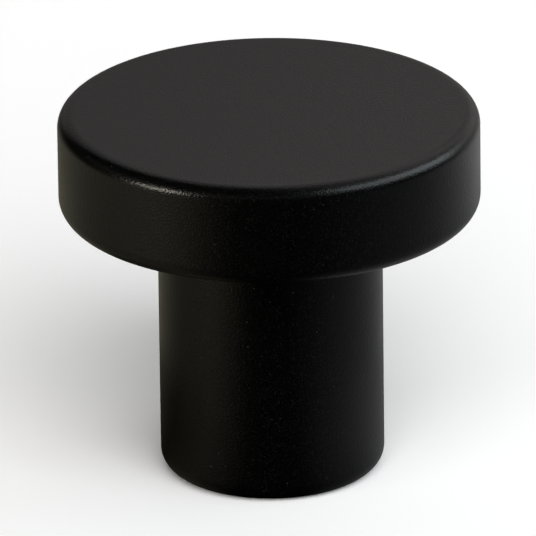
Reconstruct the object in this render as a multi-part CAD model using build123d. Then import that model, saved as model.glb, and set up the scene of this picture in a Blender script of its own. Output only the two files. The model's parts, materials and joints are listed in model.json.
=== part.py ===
"""Cabinet knob: a thick round head on a plain round stem, cast in one piece.

All sizes are in millimetres. The origin is the middle of the base, where the knob stands on the
drawer front, and +Z runs along the knob's own axis from the base to the top of the head.
"""
import os
from math import radians, tan

from build123d import *

# Head, the flat disc that the fingers pull on
HEAD_DIAMETER = 30.0
HEAD_THICKNESS = 7.5
TOP_EDGE_RADIUS = 1.1
UNDER_EDGE_RADIUS = 1.3

# Stem, the plain round post between the head and the drawer front
STEM_DIAMETER = 16.0
STEM_LENGTH = 19.5
NECK_FILLET_RADIUS = 1.0
BASE_EDGE_RADIUS = 1.4

# Screw hole, a blind hole up the axis, drilled to the core size of an M4 thread
THREAD_CORE_DIAMETER = 3.3
THREAD_LENGTH = 12.0
COUNTERSINK_DEPTH = 0.5
COUNTERSINK_ANGLE = 90.0
DRILL_POINT_ANGLE = 118.0


def cast_body():
    """The knob's outside: half of its section, with every edge rounded, turned about the axis."""
    head_radius = HEAD_DIAMETER / 2
    stem_radius = STEM_DIAMETER / 2
    height = STEM_LENGTH + HEAD_THICKNESS
    outline = FilletPolyline(
        (0, height),
        (head_radius, height),
        (head_radius, STEM_LENGTH),
        (stem_radius, STEM_LENGTH),
        (stem_radius, 0),
        (0, 0),
        radius=(TOP_EDGE_RADIUS, UNDER_EDGE_RADIUS, NECK_FILLET_RADIUS, BASE_EDGE_RADIUS),
    )
    axis_edge = Line((0, 0), (0, height))
    section = Plane.XZ * make_face([outline, axis_edge])
    return revolve(section, Axis.Z)


def screw_hole():
    """The hole's inside: a countersunk mouth at the base, a straight wall and a drill point."""
    wall_radius = THREAD_CORE_DIAMETER / 2
    mouth_radius = wall_radius + COUNTERSINK_DEPTH * tan(radians(COUNTERSINK_ANGLE / 2))
    wall_end = COUNTERSINK_DEPTH + THREAD_LENGTH
    tip = wall_end + wall_radius / tan(radians(DRILL_POINT_ANGLE / 2))
    outline = Polyline(
        (0, 0),
        (mouth_radius, 0),
        (wall_radius, COUNTERSINK_DEPTH),
        (wall_radius, wall_end),
        (0, tip),
        close=True,
    )
    section = Plane.XZ * make_face(outline)
    return revolve(section, Axis.Z)


knob = cast_body() - screw_hole()
knob.label = "knob"

os.makedirs("parts", exist_ok=True)
export_step(knob, "parts/knob.step")
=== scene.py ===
"""The cabinet knob as it looks: a matt black casting with a tapped hole in its base, on a pale floor."""

import json
import math

import bmesh
import bpy
from mathutils import Matrix, Vector


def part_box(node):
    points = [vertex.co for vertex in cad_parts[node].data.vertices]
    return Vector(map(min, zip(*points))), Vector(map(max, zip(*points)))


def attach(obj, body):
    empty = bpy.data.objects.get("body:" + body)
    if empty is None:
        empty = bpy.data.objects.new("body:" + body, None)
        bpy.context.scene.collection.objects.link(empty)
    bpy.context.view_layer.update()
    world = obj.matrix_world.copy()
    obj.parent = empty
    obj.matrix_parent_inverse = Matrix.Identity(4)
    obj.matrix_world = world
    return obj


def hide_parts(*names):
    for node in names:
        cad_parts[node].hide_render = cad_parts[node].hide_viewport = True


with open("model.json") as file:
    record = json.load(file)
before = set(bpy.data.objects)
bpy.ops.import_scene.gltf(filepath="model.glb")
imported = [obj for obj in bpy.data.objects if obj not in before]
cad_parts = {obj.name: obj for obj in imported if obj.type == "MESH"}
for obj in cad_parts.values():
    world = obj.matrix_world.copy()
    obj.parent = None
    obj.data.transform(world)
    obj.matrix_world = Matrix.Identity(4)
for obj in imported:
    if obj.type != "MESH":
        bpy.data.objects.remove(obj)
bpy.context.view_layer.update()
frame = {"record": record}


# Knob casting: one piece of zinc alloy, a thick round head on a plain round stem.
# It comes out of its mould with every edge rounded, and is then drilled and tapped from the base
# for the screw that holds it to the door.
MM = 0.001
HEAD_THICKNESS = 7.5 * MM
STEM_RADIUS = 8.0 * MM
TOP_EDGE_RADIUS = 1.1 * MM
UNDER_EDGE_RADIUS = 1.3 * MM
NECK_RADIUS = 1.0 * MM
BASE_EDGE_RADIUS = 1.4 * MM
COUNTERSINK_DEPTH = 0.5 * MM
DRILL_POINT_HALF_ANGLE = math.radians(59)

knob_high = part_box("knob")[1]
head_radius = knob_high.x
knob_height = knob_high.z
underside = knob_height - HEAD_THICKNESS

# The countersink slopes at 45 degrees, so its mouth is wider than the core by its depth all round.
screw_hole = next(mount for mount in frame["record"]["mounts"] if mount["name"] == "screw_hole")
thread_core = screw_hole["dims"]["r_mm"] * MM
thread_length = screw_hole["dims"]["length_mm"] * MM
mouth_radius = thread_core + COUNTERSINK_DEPTH
wall_end = COUNTERSINK_DEPTH + thread_length
drill_tip = wall_end + thread_core / math.tan(DRILL_POINT_HALF_ANGLE)

# How fine the mesh is: steps round the axis and along each edge, and how far apart rings lie on the flats.
STEPS_ROUND = 192
STEPS_PER_EDGE = 14
EDGE_SUPPORT = 0.06 * MM
TOP_SPACING = 2.5 * MM
RIM_SPACING = 1.5 * MM
STEM_SPACING = 2.0 * MM


def quarter_round(centre_r, centre_z, radius, start_degrees, end_degrees):
    """Points of a rounded edge in the half-section, as distance from the axis and height."""
    points = []
    for step in range(STEPS_PER_EDGE + 1):
        angle = math.radians(start_degrees + (end_degrees - start_degrees) * step / STEPS_PER_EDGE)
        points.append((centre_r + radius * math.cos(angle), centre_z + radius * math.sin(angle)))
    return points


def flat_run(start, end, spacing):
    """Points between two rounded edges: even ones, and one close to each end that keeps the flat flat."""
    length = math.dist(start, end)
    count = max(1, round(length / spacing))
    near_end = EDGE_SUPPORT / length
    shares = [near_end] + [step / count for step in range(1, count)] + [1 - near_end]
    return [tuple(a + (b - a) * share for a, b in zip(start, end)) for share in shares]


top_round = quarter_round(
    head_radius - TOP_EDGE_RADIUS, knob_height - TOP_EDGE_RADIUS, TOP_EDGE_RADIUS, 90, 0)
under_round = quarter_round(
    head_radius - UNDER_EDGE_RADIUS, underside + UNDER_EDGE_RADIUS, UNDER_EDGE_RADIUS, 0, -90)
neck_round = quarter_round(STEM_RADIUS + NECK_RADIUS, underside - NECK_RADIUS, NECK_RADIUS, 90, 180)
base_round = quarter_round(STEM_RADIUS - BASE_EDGE_RADIUS, BASE_EDGE_RADIUS, BASE_EDGE_RADIUS, 0, -90)

outline = flat_run((0.0, knob_height), top_round[0], TOP_SPACING)
outline += top_round + flat_run(top_round[-1], under_round[0], RIM_SPACING)
outline += under_round + flat_run(under_round[-1], neck_round[0], RIM_SPACING)
outline += neck_round + flat_run(neck_round[-1], base_round[0], STEM_SPACING)
outline += base_round + flat_run(base_round[-1], (mouth_radius, 0.0), RIM_SPACING)


def spot(radius, angle, height):
    """A point by its distance from the axis, its angle round it and its height."""
    return (radius * math.cos(angle), radius * math.sin(angle), height)


def ring(shape, radius, height, steps):
    """A ring of points round the axis."""
    return [shape.verts.new(spot(radius, math.tau * step / steps, height)) for step in range(steps)]


def band(shape, first, second):
    """The faces between two rings."""
    faces = []
    for step in range(len(first)):
        after = (step + 1) % len(first)
        faces.append(shape.faces.new((first[step], second[step], second[after], first[after])))
    return faces


def cap(shape, tip_height, edge):
    """The faces from a ring to a point on the axis."""
    tip = shape.verts.new((0, 0, tip_height))
    for step in range(len(edge)):
        shape.faces.new((tip, edge[step], edge[(step + 1) % len(edge)]))


casting = bmesh.new()
rings = [ring(casting, radius, height, STEPS_ROUND) for radius, height in outline]
cap(casting, knob_height, rings[0])
for first, second in zip(rings, rings[1:]):
    band(casting, first, second)

# Screw thread: cut into the wall of the hole by a tap, whose lead lets the last turns run out.
# Each column of points climbs one pitch on its way round. A turn is a crest, a flank, a root and the other
# flank, written as shares of the pitch and of the depth.
THREAD_PITCH = 0.7 * MM
THREAD_DEPTH = 0.38 * MM
FLANK_ANGLE = math.radians(30)
ROOT_SHARE = 1 / 8
RUN_OUT_TURNS = 3
SPARE_TURNS = 2
flank_share = THREAD_DEPTH * math.tan(FLANK_ANGLE) / THREAD_PITCH
crest_share = 1 - ROOT_SHARE - 2 * flank_share
turn_profile = [
    (0.0, 0.0),
    (crest_share / 2, 0.0),
    (crest_share, 0.0),
    (crest_share + flank_share / 2, 0.5),
    (crest_share + flank_share, 1.0),
    (crest_share + flank_share + ROOT_SHARE, 1.0),
    (1 - flank_share / 2, 0.5),
]
run_out = RUN_OUT_TURNS * THREAD_PITCH
turns = math.ceil(wall_end / THREAD_PITCH) + SPARE_TURNS
columns = []
for step in range(STEPS_ROUND):
    angle = math.tau * step / STEPS_ROUND
    column = []
    for turn in range(turns):
        for share, cut in turn_profile:
            height = THREAD_PITCH * (turn + share + step / STEPS_ROUND - 1)
            height = min(max(height, 0.0), wall_end)
            fade = min(1.0, (wall_end - height) / run_out)
            radius = max(thread_core + THREAD_DEPTH * cut * fade, mouth_radius - height)
            column.append(casting.verts.new(spot(radius, angle, height)))
    columns.append(column)
last_row = len(columns[0]) - 1
for step, column in enumerate(columns):
    after = (step + 1) % STEPS_ROUND
    climb = len(turn_profile) if after == 0 else 0
    for row in range(last_row):
        lower = columns[after][min(row + climb, last_row)]
        upper = columns[after][min(row + climb + 1, last_row)]
        casting.faces.new(dict.fromkeys((column[row], column[row + 1], upper, lower)))
cap(casting, drill_tip, ring(casting, thread_core, wall_end, STEPS_ROUND))
band(casting, rings[-1], ring(casting, mouth_radius, 0.0, STEPS_ROUND))

SAME_SPOT = 0.00001 * MM
bmesh.ops.remove_doubles(casting, verts=casting.verts, dist=SAME_SPOT)
bmesh.ops.dissolve_degenerate(casting, edges=casting.edges, dist=SAME_SPOT)
bmesh.ops.recalc_face_normals(casting, faces=casting.faces)

COATED, BARE = 0, 1
for face in casting.faces:
    middle = face.calc_center_median()
    in_hole = math.hypot(middle.x, middle.y) < mouth_radius and middle.z < drill_tip
    face.material_index = BARE if in_hole else COATED
    face.smooth = True


def put_in_scene(name, shape):
    """An object made of a finished shape."""
    mesh = bpy.data.meshes.new(name)
    shape.to_mesh(mesh)
    shape.free()
    thing = bpy.data.objects.new(name, mesh)
    bpy.context.scene.collection.objects.link(thing)
    return thing


SHARP_ANGLE = math.radians(35)
knob = put_in_scene("knob_casting", casting)
knob.data.set_sharp_from_angle(angle=SHARP_ANGLE)

# Powder coat: matt black, sprayed on as dry powder and baked. It has a fine raised grain over a faint
# orange peel, its black varies a little from grain to grain, and a few grains are paler than the rest.
# The reach of a pale grain is a share of the spacing.
SHADE_GRAIN_SIZE = 0.12 * MM
SHADE_GREYS = ((0.3, 0.0003), (0.6, 0.0005), (0.8, 0.003))
PALE_GRAIN_SPACING = 0.55 * MM
PALE_GRAIN_REACH = 0.12
PALE_GRAIN_GREY = (0.04, 0.04, 0.04, 1)
PLAIN_SHARE = 0.6
RAISED_GRAIN_SIZE = 0.145 * MM
RAISED_GRAIN_HEIGHT = 0.015 * MM
PEEL_SIZE = 1.6 * MM
PEEL_HEIGHT = 0.02 * MM
PEEL_STRENGTH = 0.15
PEEL_RANGE = (0.3, 0.7)
COAT_ROUGHNESS = (0.28, 0.305)


def new_finish(name):
    """A fresh material, with its node tree and its surface shader."""
    finish = bpy.data.materials.new(name)
    finish.use_nodes = True
    return finish, finish.node_tree, finish.node_tree.nodes["Principled BSDF"]


def soft_marks(tree, size, detail):
    """Soft random marks of about the given size."""
    place = tree.nodes.new("ShaderNodeTexCoord")
    noise = tree.nodes.new("ShaderNodeTexNoise")
    noise.inputs["Scale"].default_value = 1 / size
    noise.inputs["Detail"].default_value = detail
    tree.links.new(place.outputs["Object"], noise.inputs["Vector"])
    return noise.outputs["Fac"]


def raised(tree, marks, strength, height, under=None):
    """Relief of the given height, on top of an earlier relief."""
    bump = tree.nodes.new("ShaderNodeBump")
    bump.inputs["Strength"].default_value = strength
    bump.inputs["Distance"].default_value = height
    tree.links.new(marks, bump.inputs["Height"])
    if under is not None:
        tree.links.new(under, bump.inputs["Normal"])
    return bump.outputs["Normal"]


def spread(tree, value, low, high, at_low, at_high):
    """A value brought from one range to another, and held at its ends."""
    shift = tree.nodes.new("ShaderNodeMapRange")
    shift.inputs["From Min"].default_value = low
    shift.inputs["From Max"].default_value = high
    shift.inputs["To Min"].default_value = at_low
    shift.inputs["To Max"].default_value = at_high
    tree.links.new(value, shift.inputs["Value"])
    return shift.outputs["Result"]


def shaded(tree, value, stops):
    """Colours that follow a value, blended from each stop to the next."""
    ramp = tree.nodes.new("ShaderNodeValToRGB")
    while len(ramp.color_ramp.elements) < len(stops):
        ramp.color_ramp.elements.new(1.0)
    for element, (position, colour) in zip(ramp.color_ramp.elements, stops):
        element.position = position
        element.color = (*colour, 1)
    tree.links.new(value, ramp.inputs["Fac"])
    return ramp.outputs["Color"]


coat, tree, shader = new_finish("matt_black_powder_coat")
place = tree.nodes.new("ShaderNodeTexCoord")
powder = tree.nodes.new("ShaderNodeTexVoronoi")
powder.inputs["Scale"].default_value = 1 / PALE_GRAIN_SPACING
tree.links.new(place.outputs["Object"], powder.inputs["Vector"])
chance = tree.nodes.new("ShaderNodeSeparateColor")
tree.links.new(powder.outputs["Color"], chance.inputs["Color"])
pale_grain = tree.nodes.new("ShaderNodeMath")
pale_grain.operation = "MULTIPLY"
tree.links.new(
    spread(tree, powder.outputs["Distance"], 0.0, PALE_GRAIN_REACH, 1.0, 0.0), pale_grain.inputs[0])
tree.links.new(spread(tree, chance.outputs["Red"], PLAIN_SHARE, 1.0, 0.0, 1.0), pale_grain.inputs[1])

shade_grain = soft_marks(tree, SHADE_GRAIN_SIZE, detail=0.0)
blacks = shaded(tree, shade_grain, [(position, (grey, grey, grey)) for position, grey in SHADE_GREYS])
speckled = tree.nodes.new("ShaderNodeMix")
speckled.data_type = "RGBA"
tree.links.new(pale_grain.outputs["Value"], speckled.inputs["Factor"])
tree.links.new(blacks, speckled.inputs["A"])
speckled.inputs["B"].default_value = PALE_GRAIN_GREY
tree.links.new(speckled.outputs["Result"], shader.inputs["Base Color"])

peel = soft_marks(tree, PEEL_SIZE, detail=1.0)
tree.links.new(spread(tree, peel, *PEEL_RANGE, *COAT_ROUGHNESS), shader.inputs["Roughness"])
raised_grain = soft_marks(tree, RAISED_GRAIN_SIZE, detail=0.0)
relief = raised(tree, peel, strength=PEEL_STRENGTH, height=PEEL_HEIGHT)
relief = raised(tree, raised_grain, strength=1.0, height=RAISED_GRAIN_HEIGHT, under=relief)
tree.links.new(relief, shader.inputs["Normal"])
knob.data.materials.append(coat)

# Bare alloy: the wall of the hole is clean grey zinc with fine marks from the tool.
# The hole is drilled and tapped after coating, so there is no coat in it.
TOOL_MARK_SIZE = 0.2 * MM
DULL_ZINC = (0.42, 0.43, 0.45)
BRIGHT_ZINC = (0.62, 0.63, 0.65)
ZINC_ROUGHNESS = (0.25, 0.5)

bare, tree, shader = new_finish("bare_zinc_alloy")
tool_marks = soft_marks(tree, TOOL_MARK_SIZE, detail=2.0)
zinc = shaded(tree, tool_marks, [(0.0, DULL_ZINC), (1.0, BRIGHT_ZINC)])
shader.inputs["Metallic"].default_value = 1.0
tree.links.new(zinc, shader.inputs["Base Color"])
tree.links.new(spread(tree, tool_marks, 0.0, 1.0, *ZINC_ROUGHNESS), shader.inputs["Roughness"])
knob.data.materials.append(bare)

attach(knob, "root")
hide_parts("knob")


# Floor: a wide disc of plain white paper that the knob stands on.
# The paper is matt, so that it shows the knob's soft shadow and no mirror image.
FLOOR_RADIUS = 1.26
FLOOR_SIDES = 96
PAPER_WHITE = (0.94, 0.94, 0.94, 1)
PAPER_ROUGHNESS = 0.9

disc = bmesh.new()
bmesh.ops.create_circle(disc, cap_ends=True, radius=FLOOR_RADIUS, segments=FLOOR_SIDES)
floor = put_in_scene("floor", disc)
paper, _, shader = new_finish("white_paper")
shader.inputs["Base Color"].default_value = PAPER_WHITE
shader.inputs["Roughness"].default_value = PAPER_ROUGHNESS
shader.inputs["Specular IOR Level"].default_value = 0.0
floor.data.materials.append(paper)


# Screen: the same paper, standing in a ring round the edge of the floor, so that the background
# stays pale from low down too. It is kept out of the knob's reflections.
SCREEN_HEIGHT = 0.2

wall = bmesh.new()
bmesh.ops.create_cone(
    wall, segments=FLOOR_SIDES, radius1=FLOOR_RADIUS, radius2=FLOOR_RADIUS, depth=SCREEN_HEIGHT,
    matrix=Matrix.Translation((0, 0, SCREEN_HEIGHT / 2)))
for face in wall.faces:
    face.smooth = True
screen = put_in_scene("screen", wall)
screen.data.materials.append(paper)
screen.visible_glossy = False


# Dark sheet: a card that lies on the floor round the knob and is seen only in its reflections,
# so that the black coat mirrors a dim table and not the white floor. Its greys are painted reflection and
# painted shade, laid out in four rings: each is black in front of the knob as painted shade and paler
# round the sides and the back as the painted reflection of a lamplit table; the near ring is darker at the
# left than at the right as the painted shadow of the knob, and the left half is tinted warm as the painted
# reflection of the warm lamp.
CARD_LIFT = 0.1 * MM
CARD_SIDES = 96
RING_EDGES = (STEM_RADIUS - BASE_EDGE_RADIUS, 25 * MM, 60 * MM, 150 * MM, FLOOR_RADIUS)
ROUND_FROM_FRONT = (0.06, 0.15, 0.27, 0.4, 0.62, 0.76, 0.95)
# Greys of painted reflection and painted shade, one list per ring, at the places round the knob listed
# above.
PAINTED_REFLECTION_GREYS = {
    "near_ring": (0.0, 0.11, 0.02, 0.1, 0.22, 0.24, 0.0),
    "middle_ring": (0.0, 0.16, 0.12, 0.25, 0.28, 0.15, 0.0),
    "far_ring": (0.0, 0.26, 0.19, 0.17, 0.4, 0.12, 0.0),
    "outer_ring": (0.0, 0.0, 0.03, 0.07, 0.22, 0.0, 0.0),
}
LEFT_HALF = 0.5
# The warm tint is painted light: the colour of the warm lamp, painted on the left half of the sheet.
PAINTED_WARM_TINT = (1.0, 0.94, 0.7)
RIGHT_TINT = (1.0, 1.0, 1.0)
FRONT_TO_LEFT = (math.radians(180), 0, math.radians(90))

sheet = bmesh.new()
circles = [ring(sheet, radius, CARD_LIFT, CARD_SIDES) for radius in RING_EDGES]
for ring_number, (inner, outer) in enumerate(zip(circles, circles[1:])):
    for face in band(sheet, inner, outer):
        face.material_index = ring_number
card = put_in_scene("painted_reflection_sheet", sheet)

# Each ring's colours are painted reflection and painted shade, not the colour of a real print.
for name, greys in PAINTED_REFLECTION_GREYS.items():
    painted_reflection_finish, tree, shader = new_finish(name)
    shader.inputs["Roughness"].default_value = 1.0
    shader.inputs["Specular IOR Level"].default_value = 0.0
    # The gradient is turned so that it starts straight in front and runs round by the left.
    place = tree.nodes.new("ShaderNodeTexCoord")
    turned = tree.nodes.new("ShaderNodeMapping")
    turned.vector_type = "TEXTURE"
    turned.inputs["Rotation"].default_value = FRONT_TO_LEFT
    tree.links.new(place.outputs["Object"], turned.inputs["Vector"])
    round_the_knob = tree.nodes.new("ShaderNodeTexGradient")
    round_the_knob.gradient_type = "RADIAL"
    tree.links.new(turned.outputs["Vector"], round_the_knob.inputs["Vector"])
    stops = []
    for position, grey in zip(ROUND_FROM_FRONT, greys):
        tint = PAINTED_WARM_TINT if position < LEFT_HALF else RIGHT_TINT
        stops.append((position, [grey * share for share in tint]))
    tree.links.new(shaded(tree, round_the_knob.outputs["Fac"], stops), shader.inputs["Base Color"])
    card.data.materials.append(painted_reflection_finish)
card.visible_camera = False
card.visible_diffuse = False
card.visible_transmission = False
card.visible_shadow = False


# Lamps: soft boxes that the coat mirrors, four behind the knob, a long one at the right and a small warm
# one at the left front, with two weak ones to fill the left and the front. One broad lamp, high up
# in front, lights the floor and is kept out of the reflections.
LAMP_AIM_SHARE = 0.8
NEUTRAL_LIGHT = (1.0, 1.0, 1.0)
BACK_LIGHT = (1.0, 0.95, 0.94)
COOL_LIGHT = (0.88, 0.98, 1.0)
PALE_WARM_LIGHT = (1.0, 0.95, 0.9)
WARM_LIGHT = (1.0, 0.93, 0.8)
BROAD_LAMP_LEVEL = 1.17
BROAD_LAMP_SPREAD = math.radians(60)

scene = bpy.context.scene
scene.view_settings.view_transform = "Standard"
scene.world = bpy.data.worlds.new("studio")
scene.world.use_nodes = True
scene.world.node_tree.nodes["Background"].inputs["Strength"].default_value = 0.0
lamp_aim = Vector((0, 0, knob_height * LAMP_AIM_SHARE))


def facing(azimuth, elevation):
    """Direction from the knob to a lamp, in degrees: azimuth from straight behind towards the right."""
    azimuth = math.radians(azimuth)
    elevation = math.radians(elevation)
    level = math.cos(elevation)
    return Vector((math.sin(azimuth) * level, math.cos(azimuth) * level, math.sin(elevation)))


def soft_box(name, azimuth, elevation, distance, width, height, tilt, radiance, colour):
    """A rectangular lamp that faces the knob, tilted about its own middle."""
    lamp = bpy.data.lights.new(name, "AREA")
    lamp.shape = "RECTANGLE"
    lamp.size = width
    lamp.size_y = height
    lamp.energy = radiance * math.pi * width * height
    lamp.color = colour
    box = bpy.data.objects.new(name, lamp)
    way = facing(azimuth, elevation)
    box.matrix_world = (Matrix.Translation(lamp_aim + way * distance)
                        @ way.to_track_quat("Z", "Y").to_matrix().to_4x4()
                        @ Matrix.Rotation(math.radians(tilt), 4, "Z"))
    scene.collection.objects.link(box)


soft_box("back_box", azimuth=48, elevation=50, distance=0.28,
         width=0.43, height=0.49, tilt=64, radiance=0.235, colour=BACK_LIGHT)
soft_box("back_top_box", azimuth=17, elevation=61, distance=0.28,
         width=0.345, height=0.2, tilt=31, radiance=0.375, colour=BACK_LIGHT)
soft_box("back_low_box", azimuth=33, elevation=10, distance=0.45,
         width=0.51, height=0.23, tilt=-8, radiance=0.26, colour=BACK_LIGHT)
soft_box("back_left_box", azimuth=-14, elevation=24, distance=0.45,
         width=0.32, height=0.4, tilt=3, radiance=0.19, colour=BACK_LIGHT)
soft_box("right_box", azimuth=101, elevation=30.9, distance=0.4,
         width=0.58, height=0.188, tilt=-16, radiance=1.95, colour=COOL_LIGHT)
soft_box("left_fill", azimuth=-95, elevation=22, distance=0.8,
         width=1.0, height=0.3, tilt=0, radiance=0.06, colour=PALE_WARM_LIGHT)
soft_box("front_fill", azimuth=180, elevation=22, distance=0.8,
         width=1.2, height=0.3, tilt=0, radiance=0.06, colour=NEUTRAL_LIGHT)
soft_box("left_box", azimuth=-121, elevation=6.9, distance=0.25,
         width=0.085, height=0.032, tilt=15, radiance=16.5, colour=WARM_LIGHT)

broad_light = bpy.data.lights.new("broad_lamp", "SUN")
broad_light.energy = math.pi * BROAD_LAMP_LEVEL
broad_light.angle = BROAD_LAMP_SPREAD
broad_lamp = bpy.data.objects.new("broad_lamp", broad_light)
broad_lamp.matrix_world = facing(azimuth=170, elevation=38).to_track_quat("Z", "Y").to_matrix().to_4x4()
broad_lamp.visible_glossy = False
scene.collection.objects.link(broad_lamp)


# Camera: it stands in front of the knob and looks down on it a little, through a long lens.
# It is rolled by less than a degree.
CAMERA_DISTANCE = 0.9
CAMERA_ELEVATION = math.radians(22.28)
CAMERA_ROLL = math.radians(-0.715)
CAMERA_AIM = Vector((-0.176 * MM, 0, 14.909 * MM))
SENSOR_WIDTH = 36.0
LENS_LENGTH = 849.1

camera_data = bpy.data.cameras.new("camera")
camera_data.sensor_width = SENSOR_WIDTH
camera_data.lens = LENS_LENGTH
camera = bpy.data.objects.new("camera", camera_data)
back = Vector((0, -math.cos(CAMERA_ELEVATION), math.sin(CAMERA_ELEVATION)))
camera.matrix_world = (Matrix.Translation(CAMERA_AIM + back * CAMERA_DISTANCE)
                       @ back.to_track_quat("Z", "Y").to_matrix().to_4x4()
                       @ Matrix.Rotation(CAMERA_ROLL, 4, "Z"))
scene.collection.objects.link(camera)
scene.camera = camera
